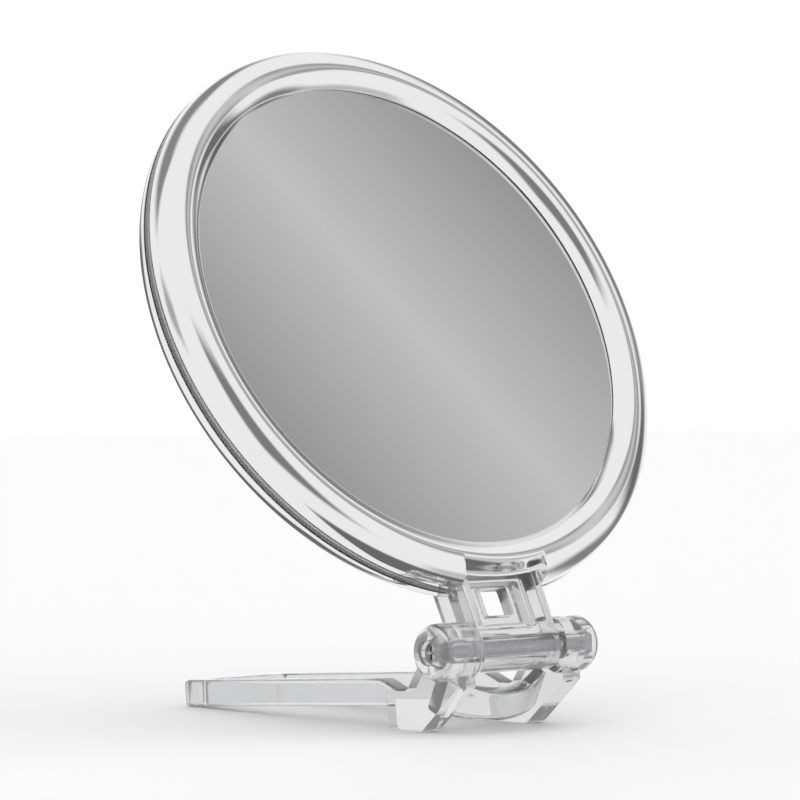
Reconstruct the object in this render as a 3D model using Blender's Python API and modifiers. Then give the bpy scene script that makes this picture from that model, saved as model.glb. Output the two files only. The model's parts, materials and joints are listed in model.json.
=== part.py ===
"""Two-sided round mirror on a folding handle that doubles as an easel stand.

Metres, +Z up, +Y to the back. The handle lies on the table and the head leans back on the hinge.
Origin: centre of the bounding box on the table. The round parts are modelled about the head's own
axis, the handle about the hinge axis, and two empties put both in place.
"""
from math import asin, atan2, ceil, cos, hypot, pi, radians, sin, sqrt

import bmesh
import bpy
from mathutils import Matrix

# --- head ---------------------------------------------------------------------------------------
RIM_RADIUS = 0.0750            # outer edge of the head
RIM_WIDTH = 0.0119             # outer edge to the visible edge of the glass
CREST_RISE = 0.0035            # outer face of either glass to the crest of its bezel
CREST_INSET = 0.0068           # outer edge to the crest
BEZEL_WALL = 0.0013
LIP_RISE = 0.0005              # outer face of either glass to the tip of the inner lip
SEAM_BAND = 0.0024             # clear edge of the core frame that shows between the bezels
GLASS_LAP = 0.0019             # how far the lip covers the glass
GLASS_THICKNESS = 0.0020
CONCAVE_DEPTH = 0.0018         # sag of the magnifying glass
TAPE_WIDTH = 0.0040            # double-sided tape ring behind each glass
TAPE_THICKNESS = 0.0008
SPACER_THICKNESS = 0.0004      # card disc between the two glasses
SPACER_PLAY = 0.0001           # crown of the magnifying glass to the card
FILLING_PLAY = 0.0007          # loose space left between the two glasses at their edges

# --- neck and hinge -----------------------------------------------------------------------------
LEAN = radians(26.5)           # head's lean back from upright in the standing pose
NECK_REACH = 0.0130            # hinge axis to the outer edge of the head
HEAD_OFFSET = 0.0021           # head's mid-plane ahead of the hinge axis
NECK_FLARE = 0.0004            # how much each side of the neck widens from the barrel to its root
NECK_DEPTH = 0.0105
BARREL_RADIUS = 0.0056
NECK_ROOT = 0.0058             # how far the neck reaches in under the rim
POCKET_WALL = 0.0026           # side of the neck to the side of the pocket
POCKET_BOTTOM = 0.0043         # hinge axis to the lower edge of the pocket
POCKET_TOP = 0.0172
POCKET_DEPTH = 0.0036          # from the front and from the back, leaving a web
SLOT_WIDTH = 0.0084            # opening through the web
SLOT_BOTTOM = 0.0079
SLOT_TOP = 0.0154
KNUCKLE_RADIUS = 0.0069
KNUCKLE_LENGTH = 0.0124
KNUCKLE_ROUNDING = 0.0037
HINGE_HALF_WIDTH = 0.0258      # centre to the outer end of either knuckle
WASHER_THICKNESS = 0.0005
WASHER_RADIUS = 0.0048
WASHER_POCKET = 0.0003         # how deep each washer sits in its knuckle
SCREW_RADIUS = 0.0015
SCREW_HEAD_RADIUS = 0.0027
SCREW_HEAD_HEIGHT = 0.0018
NUT_ACROSS_FLATS = 0.0055
NUT_HEIGHT = 0.0024
SPRING_THICKNESS = 0.0006
COUNTERBORE_DEPTH = 0.0044

# --- handle -------------------------------------------------------------------------------------
HINGE_HEIGHT = 0.0196          # hinge axis above the table
HANDLE_REACH = 0.1085          # hinge axis to the free end, along the rails
RAIL_TOP = 0.0061              # hinge axis down to the top of the rails
RAIL_HEIGHT = 0.0067
RAIL_WIDTH = 0.0050
END_BAR_WIDTH = 0.0064
ARM_INSET = 0.0058             # outer end of the knuckle to the outer face of its arm and foot
RAIL_OVERLAP = 0.0012          # how far each rail runs into its foot
FOOT_STEP = 0.0006             # rail set in from the foot's outer face
END_HALF_WIDTH = 0.0170
END_CORNER = 0.0050
CHEEK_WIDTH = 0.0058
FOOT_BACK = 0.0203             # hinge axis back to the heel of the foot
ARM_FRONT = 0.0091             # hinge axis to the arm's front face
ARM_SLOPE = radians(41.0)      # arm's front face below horizontal
APRON_SLOPE = radians(61.5)    # cross-piece below the rails' direction
APRON_DISTANCE = 0.0050        # hinge axis to the front face of the cross-piece
APRON_THICKNESS = 0.0040
APRON_TOP = 0.0098             # depth of the D-shaped opening, down the slope
APRON_BOTTOM = 0.0174
APRON_BOW = 0.0042             # how far its middle stands forward of its ends
EDGE = 0.0006                  # rounding of the moulded edges

GAP = 0.0003                   # between pieces that touch
RUNNING = 0.0001               # radial clearance of the screw
TURN_STEPS = 72
KNUCKLE_STEPS = 54
SMALL_STEPS = 32

# --- derived ------------------------------------------------------------------------------------
filling = CONCAVE_DEPTH + SPACER_THICKNESS + TAPE_THICKNESS + GAP + FILLING_PLAY
glass_face = filling / 2 + GLASS_THICKNESS      # mid-plane to the outer face of each glass at its edge
rim_half_depth = glass_face + CREST_RISE
lip_height = glass_face + LIP_RISE
head_reach = RIM_RADIUS + NECK_REACH
crest_radius = RIM_RADIUS - CREST_INSET
sight_radius = RIM_RADIUS - RIM_WIDTH
glass_radius = sight_radius + GLASS_LAP
seam_half = SEAM_BAND / 2
bore_radius = SCREW_RADIUS + RUNNING
knuckle_inner = HINGE_HALF_WIDTH - KNUCKLE_LENGTH
washer_start = knuckle_inner + WASHER_POCKET - GAP - WASHER_THICKNESS
barrel_half = washer_start - GAP
bore_floor = HINGE_HALF_WIDTH - COUNTERBORE_DEPTH
handle_half_width = HINGE_HALF_WIDTH - ARM_INSET
rail_bottom = RAIL_TOP + RAIL_HEIGHT
rail_tilt = asin(HINGE_HEIGHT / hypot(HANDLE_REACH, rail_bottom)) - atan2(rail_bottom, HANDLE_REACH)
handle_back = HANDLE_REACH * cos(rail_tilt) - RAIL_TOP * sin(rail_tilt)
head_back = (head_reach + RIM_RADIUS) * sin(LEAN) + (rim_half_depth - HEAD_OFFSET) * cos(LEAN)
hinge_y = (KNUCKLE_RADIUS - max(handle_back, head_back)) / 2

# --- scene helpers ------------------------------------------------------------------------------
for old in list(bpy.data.objects):
    bpy.data.objects.remove(old, do_unlink=True)

parts = bpy.data.collections.new("folding_handle_mirror")
cutters = bpy.data.collections.new("cutters")
for group in (parts, cutters):
    bpy.context.scene.collection.children.link(group)


def empty(name, tilt):
    """An empty on the hinge axis, turned back about that axis."""
    axis = bpy.data.objects.new(name, None)
    axis.location = (0, hinge_y, HINGE_HEIGHT)
    axis.rotation_euler = (-tilt, 0, 0)
    parts.objects.link(axis)
    return axis


stand_axis = empty("stand_axis", rail_tilt)
head_axis = empty("head_axis", LEAN)


def material(name, colour, roughness, metallic=0.0, transmission=0.0):
    """A Principled material."""
    mat = bpy.data.materials.new(name)
    mat.use_nodes = True
    shader = mat.node_tree.nodes["Principled BSDF"]
    shader.inputs["Base Color"].default_value = (*colour, 1)
    shader.inputs["Roughness"].default_value = roughness
    shader.inputs["Metallic"].default_value = metallic
    shader.inputs["Transmission Weight"].default_value = transmission
    return mat


clear = material("clear_moulding", (0.93, 0.94, 0.94), 0.06, transmission=0.9)
plated = material("plated_plastic", (0.86, 0.87, 0.88), 0.08, metallic=1.0)
silvered = material("silvered_glass", (0.72, 0.73, 0.74), 0.03, metallic=1.0)
tape = material("grey_tape", (0.20, 0.20, 0.21), 0.9)
card = material("grey_card", (0.45, 0.44, 0.42), 0.85)
steel = material("zinc_plated_steel", (0.55, 0.56, 0.58), 0.3, metallic=1.0)
nylon = material("white_nylon", (0.85, 0.85, 0.83), 0.4)


def add(name, mesh, mat=None, is_cutter=False):
    """Link a mesh as a part, or as a hidden helper for a Boolean."""
    obj = bpy.data.objects.new(name, mesh)
    if is_cutter:
        obj.hide_render = True
        obj.display_type = "WIRE"
        cutters.objects.link(obj)
    else:
        obj.data.materials.append(mat)
        parts.objects.link(obj)
    return obj


def on_head(obj, x=0.0, up=0.0, turn=Matrix.Identity(4)):
    """Place by the head's own axis: local Z faces forward out of the mirror, local Y runs up."""
    obj.parent = head_axis
    up_from_hinge = head_reach + up
    face = Matrix.Rotation(pi / 2, 4, "X")
    obj.matrix_local = Matrix.Translation((x, -HEAD_OFFSET, up_from_hinge)) @ face @ turn
    return obj


def on_hinge(obj, axis, x=0.0, turn=Matrix.Identity(4)):
    """Place on the hinge axis, with local Z along it."""
    obj.parent = axis
    obj.matrix_local = Matrix.Translation((x, 0, 0)) @ Matrix.Rotation(pi / 2, 4, "Y") @ turn
    return obj


def on_stand(obj):
    """Place by the handle's own directions: Y along the rails, Z up from them."""
    obj.parent = stand_axis
    return obj


def arc(centre, radii, start, end, steps):
    """Points on an elliptical arc, angles in degrees."""
    turns = [radians(start + (end - start) * i / steps) for i in range(steps + 1)]
    return [(centre[0] + radii[0] * cos(a), centre[1] + radii[1] * sin(a)) for a in turns]


def rounded(corners):
    """Outline through (x, y, radius) corners, each rounded with an arc of its radius."""
    outline = []
    for i, (x, y, radius) in enumerate(corners):
        before = corners[i - 1]
        after = corners[(i + 1) % len(corners)]
        if not radius:
            outline.append((x, y))
            continue
        into = atan2(before[1] - y, before[0] - x)
        out = atan2(after[1] - y, after[0] - x)
        half = (out - into + pi) % (2 * pi) - pi
        tangent = radius / abs(sin(half / 2)) * cos(half / 2)
        middle = into + half / 2
        reach = radius / abs(sin(half / 2))
        centre = (x + reach * cos(middle), y + reach * sin(middle))
        first = (x + tangent * cos(into), y + tangent * sin(into))
        last = (x + tangent * cos(out), y + tangent * sin(out))
        a0 = atan2(first[1] - centre[1], first[0] - centre[0])
        sweep = (atan2(last[1] - centre[1], last[0] - centre[0]) - a0 + pi) % (2 * pi) - pi
        steps = max(3, ceil(abs(sweep) / radians(18)))
        for k in range(steps + 1):
            a = a0 + sweep * k / steps
            outline.append((centre[0] + radius * cos(a), centre[1] + radius * sin(a)))
    return outline


def turned(name, profile, mat=None, closed=False, steps=TURN_STEPS, is_cutter=False):
    """Solid of revolution about local Z from a (radius, height) profile, outer side downwards."""
    mesh = bpy.data.meshes.new(name)
    bm = bmesh.new()
    points = [bm.verts.new((r, 0, z)) for r, z in profile]
    for a, b in zip(points, points[1:]):
        bm.edges.new((a, b))
    if closed:
        bm.edges.new((points[-1], points[0]))
    bm.to_mesh(mesh)
    bm.free()
    obj = add(name, mesh, mat, is_cutter)
    screw = obj.modifiers.new("turn", "SCREW")
    screw.axis = "Z"
    screw.angle = 2 * pi
    screw.steps = steps
    screw.render_steps = steps
    screw.use_merge_vertices = True
    screw.merge_threshold = 0.00001
    screw.use_smooth_shade = True
    return obj


def disc(name, radius, bottom, top, mat=None, hole=0.0, steps=SMALL_STEPS, is_cutter=False):
    """Plain disc or washer about local Z."""
    if hole:
        profile = [(radius, top), (radius, bottom), (hole, bottom), (hole, top)]
        return turned(name, profile, mat, closed=True, steps=steps, is_cutter=is_cutter)
    profile = [(0, top), (radius, top), (radius, bottom), (0, bottom)]
    return turned(name, profile, mat, steps=steps, is_cutter=is_cutter)


def block(name, low, high, mat=None, edge=0.0, is_cutter=True):
    """Box between two corners, with optional rounded edges."""
    mesh = bpy.data.meshes.new(name)
    bm = bmesh.new()
    size = [b - a for a, b in zip(low, high)]
    middle = [(a + b) / 2 for a, b in zip(low, high)]
    shape = Matrix.Translation(middle) @ Matrix.Diagonal((*size, 1))
    bmesh.ops.create_cube(bm, size=1, matrix=shape)
    bm.to_mesh(mesh)
    bm.free()
    obj = add(name, mesh, mat, is_cutter)
    if edge:
        bevel = obj.modifiers.new("edges", "BEVEL")
        bevel.width = edge
        bevel.segments = 3
    return obj


def plate(name, outline, thickness, frame, mat=None, edge=EDGE, is_cutter=True):
    """Flat outline extruded both ways and rounded, as a welded mesh laid out by a matrix."""
    curve = bpy.data.curves.new(name, "CURVE")
    curve.dimensions = "2D"
    curve.fill_mode = "BOTH"
    curve.extrude = thickness / 2 - edge
    curve.bevel_depth = edge
    curve.bevel_resolution = 1
    curve.offset = -edge
    spline = curve.splines.new("POLY")
    spline.points.add(len(outline) - 1)
    for point, (x, y) in zip(spline.points, outline):
        point.co = (x, y, 0, 1)
    spline.use_cyclic_u = True
    guide = bpy.data.objects.new(name + "_outline", curve)
    cutters.objects.link(guide)
    bpy.context.view_layer.update()
    ready = guide.evaluated_get(bpy.context.evaluated_depsgraph_get())
    mesh = bpy.data.meshes.new_from_object(ready)
    bpy.data.objects.remove(guide, do_unlink=True)
    bm = bmesh.new()
    bm.from_mesh(mesh)
    bmesh.ops.remove_doubles(bm, verts=bm.verts, dist=0.000005)
    bmesh.ops.dissolve_degenerate(bm, edges=bm.edges, dist=0.000005)
    bmesh.ops.recalc_face_normals(bm, faces=bm.faces)
    bm.transform(frame)
    bm.to_mesh(mesh)
    bm.free()
    mesh.materials.clear()
    return add(name, mesh, mat, is_cutter)


def combine(base, other, operation):
    """Join another solid to the base, or cut it away."""
    boolean = base.modifiers.new(other.name, "BOOLEAN")
    boolean.operation = operation
    boolean.object = other
    boolean.solver = "EXACT"


# --- head: bezels, glasses and what lies between them ---------------------------------------------
def bezel_profile():
    """Closed section of the front bezel: outer skin from the lip over the crest to the seam."""
    base = seam_half + GAP
    outer_rise = rim_half_depth - base
    inner_run = crest_radius - sight_radius
    inner_span = inner_run * 1.2
    turn = asin(inner_run / inner_span)
    inner_rise = (rim_half_depth - lip_height) / (1 - cos(turn))
    end = 90 + turn * 180 / pi
    inner = arc((crest_radius, rim_half_depth - inner_rise), (inner_span, inner_rise), end, 90, 5)
    outer = arc((crest_radius, base), (CREST_INSET, outer_rise), 90, 0, 7)[1:]
    under = glass_face + GAP
    seat = glass_radius + GAP
    hollow = arc((crest_radius, base), (CREST_INSET - BEZEL_WALL, outer_rise - BEZEL_WALL), 0, 90, 4)
    return inner + outer + hollow + [(seat + GAP, under + BEZEL_WALL), (seat, under), (sight_radius, under)]


def mirrored(profile):
    """The same section on the back of the head, still listed outer side downwards."""
    return [(r, -z) for r, z in reversed(profile)]


neck_half = barrel_half + NECK_FLARE
neck_front = NECK_DEPTH / 2 - HEAD_OFFSET
neck_back = -NECK_DEPTH / 2 - HEAD_OFFSET
neck_root = NECK_ROOT - RIM_RADIUS


def bezel(name, profile, low, high):
    """One plated half of the rim, notched where the neck runs in."""
    ring = on_head(turned(name, profile, plated, closed=True))
    side = neck_half + GAP
    notch = block(name + "_notch", (-side, -head_reach, low), (side, neck_root + GAP, high))
    combine(ring, on_head(notch), "DIFFERENCE")
    return ring


bezel("front_bezel", bezel_profile(), 0, 2 * rim_half_depth)
bezel("rear_bezel", mirrored(bezel_profile()), -2 * rim_half_depth, 0)

plain_back = glass_face - GLASS_THICKNESS
on_head(disc("plain_mirror_glass", glass_radius, plain_back, glass_face, silvered, steps=TURN_STEPS))


def concave_profile():
    """Section of the magnifying glass: dished on its outer (rear) face, constant thickness."""
    rings = 5
    radii = [glass_radius * i / rings for i in range(rings + 1)]
    dish = [-glass_face + CONCAVE_DEPTH * (1 - (r / glass_radius) ** 2) for r in radii]
    upper = [(r, z + GLASS_THICKNESS) for r, z in zip(radii, dish)]
    lower = [(r, z) for r, z in zip(radii, dish)]
    return upper + lower[::-1]


on_head(turned("magnifying_mirror_glass", concave_profile(), silvered))

tape_outer = glass_radius
tape_inner = tape_outer - TAPE_WIDTH
front_tape_top = plain_back - GAP
tape_edge_sag = CONCAVE_DEPTH * (1 - (tape_inner / glass_radius) ** 2)
rear_tape_bottom = -glass_face + GLASS_THICKNESS + tape_edge_sag + GAP
on_head(disc("front_tape_ring", tape_outer, front_tape_top - TAPE_THICKNESS, front_tape_top, tape,
             hole=tape_inner, steps=TURN_STEPS))
on_head(disc("rear_tape_ring", tape_outer, rear_tape_bottom, rear_tape_bottom + TAPE_THICKNESS, tape,
             hole=tape_inner, steps=TURN_STEPS))
spacer_bottom = -glass_face + CONCAVE_DEPTH + GLASS_THICKNESS + SPACER_PLAY
on_head(disc("card_spacer", glass_radius, spacer_bottom, spacer_bottom + SPACER_THICKNESS, card,
             steps=TURN_STEPS))


def core_frame():
    """Clear frame: ring between the bezels, neck with its window, and the middle hinge barrel."""
    body_outer = crest_radius + CREST_INSET * 0.45
    body_half = glass_face - 0.0004
    body_inner = glass_radius + GAP
    edge = RIM_RADIUS - 0.0001
    section = [(body_inner, body_half), (crest_radius, body_half), (body_outer, seam_half),
               (edge, seam_half), (edge, -seam_half), (body_outer, -seam_half),
               (crest_radius, -body_half), (body_inner, -body_half)]
    frame = on_head(turned("core_frame", section, clear, closed=True))
    low = -head_reach
    neck = block("neck_block", (-neck_half, low, neck_back), (neck_half, neck_root, neck_front))
    for vertex in neck.data.vertices:
        if vertex.co.y < neck_root - GAP:
            vertex.co.x *= barrel_half / neck_half
    combine(frame, on_head(neck), "UNION")
    barrel = disc("neck_barrel", BARREL_RADIUS, -barrel_half, barrel_half, is_cutter=True)
    combine(frame, on_hinge(barrel, head_axis), "UNION")
    half = neck_half - POCKET_WALL
    bottom = POCKET_BOTTOM - head_reach
    top = POCKET_TOP - head_reach
    far = rim_half_depth * 2
    front = block("front_pocket", (-half, bottom, neck_front - POCKET_DEPTH), (half, top, far))
    back = block("back_pocket", (-half, bottom, -far), (half, top, neck_back + POCKET_DEPTH))
    slot = block("web_slot", (-SLOT_WIDTH / 2, SLOT_BOTTOM - head_reach, -far),
                 (SLOT_WIDTH / 2, SLOT_TOP - head_reach, far))
    for cut in (front, back, slot):
        combine(frame, on_head(cut), "DIFFERENCE")
    bore = disc("barrel_bore", bore_radius, -HINGE_HALF_WIDTH, HINGE_HALF_WIDTH, is_cutter=True)
    combine(frame, on_hinge(bore, head_axis), "DIFFERENCE")
    return frame


core_frame()


# --- handle --------------------------------------------------------------------------------------
def in_rail_frame(back, down):
    """A point measured level with the table, from the hinge axis, in the rails' directions."""
    along = back * cos(rail_tilt) + down * sin(rail_tilt)
    up = back * sin(rail_tilt) - down * cos(rail_tilt)
    return along, up


def cheek_outline():
    """Side view of one arm and its foot: a dog-leg from the knuckle down to the table."""
    slope = ARM_SLOPE
    normal = (sin(slope), cos(slope))
    toe_back = (HINGE_HEIGHT * normal[1] - ARM_FRONT) / normal[0]
    toe = in_rail_frame(toe_back, HINGE_HEIGHT)
    heel = in_rail_frame(FOOT_BACK, HINGE_HEIGHT)
    brow_down = KNUCKLE_RADIUS * 1.15
    brow = in_rail_frame((brow_down * normal[1] - ARM_FRONT) / normal[0], brow_down)
    crook = (FOOT_BACK * 0.74, -RAIL_TOP - 0.0026)
    nape = (KNUCKLE_RADIUS * 0.72, KNUCKLE_RADIUS * 0.42)
    return rounded([(-KNUCKLE_RADIUS * 0.45, -KNUCKLE_RADIUS * 0.3, 0), (*brow, 0.0008),
                    (*toe, 0.0045), (*heel, 0.0012), (heel[0] + 0.0006, -RAIL_TOP, 0.0010),
                    (*crook, 0.0025), (*nape, 0)])


def loop_outline():
    """Plan of the grip: two rails that close in slightly and meet in the end bar."""
    front = FOOT_BACK - RAIL_OVERLAP
    outer = handle_half_width - FOOT_STEP
    end_inner = HANDLE_REACH - END_BAR_WIDTH
    inside = END_CORNER - 0.0015
    return rounded([(outer, front, 0), (END_HALF_WIDTH, HANDLE_REACH, END_CORNER),
                    (-END_HALF_WIDTH, HANDLE_REACH, END_CORNER), (-outer, front, 0),
                    (-outer + RAIL_WIDTH, front, 0), (-END_HALF_WIDTH + RAIL_WIDTH, end_inner, inside),
                    (END_HALF_WIDTH - RAIL_WIDTH, end_inner, inside), (outer - RAIL_WIDTH, front, 0)])


def apron_outline():
    """The U-shaped cross-piece between the arms, x across and y down its slope (negative)."""
    outer = handle_half_width - CHEEK_WIDTH / 2
    inner = handle_half_width - CHEEK_WIDTH - 0.0004
    top = -APRON_TOP
    bottom = -APRON_BOTTOM
    start = -KNUCKLE_RADIUS * 0.3
    drop = APRON_BOTTOM - APRON_TOP
    lower = arc((0, bottom + drop * 0.8), (outer, drop * 0.8), 180, 360, 16)
    upper = arc((0, top * 0.3), (inner, -top * 0.7), 360, 180, 16)
    return [(-outer, start)] + lower + [(outer, start), (inner, start)] + upper + [(-inner, start)]


def folding_handle():
    """One clear moulding: knuckles, arms, feet, cross-piece and grip loop."""
    flat = Matrix(((1, 0, 0, 0), (0, 1, 0, 0), (0, 0, 1, -RAIL_TOP - RAIL_HEIGHT / 2), (0, 0, 0, 1)))
    handle = on_stand(plate("folding_handle", loop_outline(), RAIL_HEIGHT, flat, clear, is_cutter=False))
    cheek_middle = handle_half_width - CHEEK_WIDTH / 2
    for side, label in ((-1, "left"), (1, "right")):
        flip = Matrix.Rotation(0 if side > 0 else pi, 4, "X")
        upright = Matrix(((0, 0, 1, side * cheek_middle), (1, 0, 0, 0), (0, 1, 0, 0), (0, 0, 0, 1)))
        cheek = plate(label + "_cheek", cheek_outline(), CHEEK_WIDTH, upright)
        combine(handle, on_stand(cheek), "UNION")
        fillet = KNUCKLE_ROUNDING
        start = knuckle_inner
        end = arc((KNUCKLE_RADIUS - fillet, HINGE_HALF_WIDTH - fillet), (fillet, fillet), 90, 0, 4)
        profile = [(0, HINGE_HALF_WIDTH)] + end + [(KNUCKLE_RADIUS, start), (0, start)]
        knuckle = turned(label + "_knuckle", profile, steps=KNUCKLE_STEPS, is_cutter=True)
        combine(handle, on_hinge(knuckle, stand_axis, turn=flip), "UNION")
    slope = APRON_SLOPE
    face = APRON_DISTANCE - APRON_THICKNESS / 2
    lay = Matrix(((1, 0, 0, 0), (0, -cos(slope), sin(slope), -face * sin(slope)),
                  (0, sin(slope), cos(slope), -face * cos(slope)), (0, 0, 0, 1)))
    apron = plate("apron", apron_outline(), APRON_THICKNESS, lay)
    half = handle_half_width - CHEEK_WIDTH
    for vertex in apron.data.vertices:
        vertex.co.y += APRON_BOW * (vertex.co.x / half) ** 2
    combine(handle, on_stand(apron), "UNION")
    for side, label, radius in ((-1, "left", head_bore_radius), (1, "right", nut_bore_radius)):
        beyond = HINGE_HALF_WIDTH * 1.1
        pocket_radius = WASHER_RADIUS + GAP
        pocket_floor = knuckle_inner + WASHER_POCKET
        steps = [(0, beyond), (radius, beyond), (radius, bore_floor), (bore_radius, bore_floor),
                 (bore_radius, pocket_floor), (pocket_radius, pocket_floor),
                 (pocket_radius, barrel_half), (0, barrel_half)]
        bore = turned(label + "_stepped_bore", steps, steps=SMALL_STEPS, is_cutter=True)
        flip = Matrix.Rotation(0 if side > 0 else pi, 4, "X")
        combine(handle, on_hinge(bore, stand_axis, turn=flip), "DIFFERENCE")
    return handle


# --- hinge hardware ------------------------------------------------------------------------------
nut_corner = NUT_ACROSS_FLATS / sqrt(3)
head_bore_radius = SCREW_HEAD_RADIUS + GAP
nut_bore_radius = nut_corner + GAP
folding_handle()

spring_outer = bore_floor + GAP + SPRING_THICKNESS
head_start = spring_outer + GAP
head_end = head_start + SCREW_HEAD_HEIGHT
nut_start = bore_floor + GAP
screw_end = nut_start + NUT_HEIGHT + 0.0004


def hinge_screw():
    """Pan-head screw through both knuckles and the barrel, with a cross recess in its head."""
    crown = 0.0006
    edge = SCREW_HEAD_RADIUS
    dome = [(0, -head_end), (edge * 0.6, -head_end), (edge, -head_end + crown)]
    shank = [(edge, -head_start), (SCREW_RADIUS, -head_start), (SCREW_RADIUS, screw_end), (0, screw_end)]
    profile = (dome + shank)[::-1]
    screw = on_hinge(turned("hinge_screw", profile, steel, steps=SMALL_STEPS), stand_axis)
    arm = SCREW_HEAD_RADIUS * 0.6
    slit = SCREW_HEAD_RADIUS * 0.13
    deep = -head_end + SCREW_HEAD_HEIGHT * 0.5
    for label, size in (("recess_a", (arm, slit)), ("recess_b", (slit, arm))):
        cut = block(label, (-size[0], -size[1], -2 * head_end), (size[0], size[1], deep))
        combine(screw, on_hinge(cut, stand_axis), "DIFFERENCE")
    return screw


def hex_nut():
    """Hexagon nut that the right-hand recess hides."""
    mesh = bpy.data.meshes.new("hinge_nut")
    bm = bmesh.new()
    place = Matrix.Translation((0, 0, nut_start + NUT_HEIGHT / 2))
    bmesh.ops.create_cone(bm, cap_ends=True, segments=6, radius1=nut_corner, radius2=nut_corner,
                          depth=NUT_HEIGHT, matrix=place)
    bm.to_mesh(mesh)
    bm.free()
    nut = on_hinge(add("hinge_nut", mesh, steel), stand_axis)
    thread = disc("nut_thread", bore_radius, 0, 2 * HINGE_HALF_WIDTH, is_cutter=True)
    combine(nut, on_hinge(thread, stand_axis), "DIFFERENCE")
    return nut


hinge_screw()
hex_nut()
on_hinge(disc("spring_washer", SCREW_HEAD_RADIUS, -spring_outer, -bore_floor - GAP, steel,
              hole=bore_radius), stand_axis)
for side_name, direction in (("left", -1), ("right", 1)):
    near_end, far_end = sorted((direction * washer_start, direction * (washer_start + WASHER_THICKNESS)))
    on_hinge(disc(side_name + "_friction_washer", WASHER_RADIUS, near_end, far_end, nylon,
                  hole=bore_radius), stand_axis)

for part in parts.objects:
    if part.type == "MESH":
        part.data.set_sharp_from_angle(angle=radians(35))
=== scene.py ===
# %% [markdown]
# # A round mirror on a clear folding handle
#
# The object is a two-sided hand mirror that stands on its own handle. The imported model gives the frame:
# where the hinge is, how the head leans and how big each part is. This script dresses that frame with
# smooth surfaces and real finishes. Lengths below are in millimetres, and become metres in the mesh.

# %% Load the frame
import json
from math import acos, asin, atan2, cos, degrees, hypot, pi, radians, sin, sqrt, tan

import bmesh
import bpy
import numpy as np
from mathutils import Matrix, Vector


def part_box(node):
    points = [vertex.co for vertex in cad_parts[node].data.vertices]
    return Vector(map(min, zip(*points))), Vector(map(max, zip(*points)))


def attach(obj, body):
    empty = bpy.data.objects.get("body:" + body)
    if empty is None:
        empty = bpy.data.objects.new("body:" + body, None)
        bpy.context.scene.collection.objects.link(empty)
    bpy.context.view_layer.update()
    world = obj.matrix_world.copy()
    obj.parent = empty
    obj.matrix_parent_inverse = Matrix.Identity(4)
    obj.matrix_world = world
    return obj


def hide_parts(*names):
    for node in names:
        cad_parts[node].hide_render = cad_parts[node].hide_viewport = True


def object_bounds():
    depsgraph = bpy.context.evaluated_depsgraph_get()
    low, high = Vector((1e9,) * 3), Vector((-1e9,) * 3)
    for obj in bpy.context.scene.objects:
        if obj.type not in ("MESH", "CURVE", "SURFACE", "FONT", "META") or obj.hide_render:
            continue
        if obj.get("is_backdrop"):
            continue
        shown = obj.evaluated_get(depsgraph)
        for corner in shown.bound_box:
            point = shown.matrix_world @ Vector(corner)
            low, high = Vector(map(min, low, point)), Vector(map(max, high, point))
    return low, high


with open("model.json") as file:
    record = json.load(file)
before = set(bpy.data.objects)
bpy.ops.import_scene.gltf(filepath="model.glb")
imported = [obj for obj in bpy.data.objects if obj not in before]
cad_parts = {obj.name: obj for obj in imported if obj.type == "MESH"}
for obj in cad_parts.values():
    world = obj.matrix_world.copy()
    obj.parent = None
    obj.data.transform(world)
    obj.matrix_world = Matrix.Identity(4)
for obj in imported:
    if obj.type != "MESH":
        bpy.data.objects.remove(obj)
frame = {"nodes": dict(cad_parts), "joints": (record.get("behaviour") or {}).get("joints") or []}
cad_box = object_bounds()
MM = 0.001

# %% [markdown]
# The head is a flat disc that leans back on a hinge, and everything on it is easiest to describe about its
# own middle. A disc of diameter D and thickness t that leans by an angle a is D sin a + t cos a deep and
# D cos a + t sin a high. The two add up to (D + t)(sin a + cos a), which gives the lean from the glass's
# box. The handle has a frame of its own too, along its rails, because they drop slightly to the back.

# %% Frames of the head and the handle
GLASS_THICKNESS = 2.0
GLASS_FACE = 4.0              # head's mid-plane to either glass face
HANDLE_REACH = 108.5          # hinge axis to the free end
RAIL_TOP = 6.1                # hinge axis down to the rails
RAIL_BOTTOM = 12.8

hinge = np.array(frame["joints"][0]["pos_m"])
low, high = (np.array(corner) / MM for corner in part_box("plain_mirror_glass"))
span = high - low
lean = 0.5 * asin(((span[1] + span[2]) / (span[0] + GLASS_THICKNESS)) ** 2 - 1)
UP = np.array([0, sin(lean), cos(lean)])
OUT = np.array([0, -cos(lean), sin(lean)])
head_centre = (low + high) / 2 * MM - OUT * (GLASS_FACE - GLASS_THICKNESS / 2) * MM
axis_up = (hinge - head_centre) @ UP / MM
axis_out = (hinge - head_centre) @ OUT / MM

height = hinge[2] / MM
tilt = asin(height / hypot(HANDLE_REACH, RAIL_BOTTOM)) - atan2(RAIL_BOTTOM, HANDLE_REACH)
ALONG = np.array([0, cos(tilt), -sin(tilt)])
RISE = np.array([0, sin(tilt), cos(tilt)])
ACROSS = np.array([1.0, 0, 0])
print(f"lean {degrees(lean):.2f} degrees, rails drop {degrees(tilt):.2f} degrees")
print(f"hinge axis at {axis_up:.2f}, {axis_out:.2f} mm from the head's middle")


def on_head(points):
    """(right, up, out) in mm from the middle of the head, to metres in the row frame."""
    return head_centre + (points @ np.array([ACROSS, UP, OUT])) * MM


def on_handle(points):
    """(right, along the rails, up from them) in mm from the hinge axis, to metres in the row frame."""
    return hinge + (points @ np.array([ACROSS, ALONG, RISE])) * MM


# %% [markdown]
# Every new piece is a grid of points: rows along one direction, columns along the other. One function turns
# such a grid into a closed mesh. It joins the first and last row or column where the shape closes on itself,
# fills the open ends, and then adds up the signed volumes of its triangles. A negative sum means that the
# faces look inwards, so they are turned round.

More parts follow.
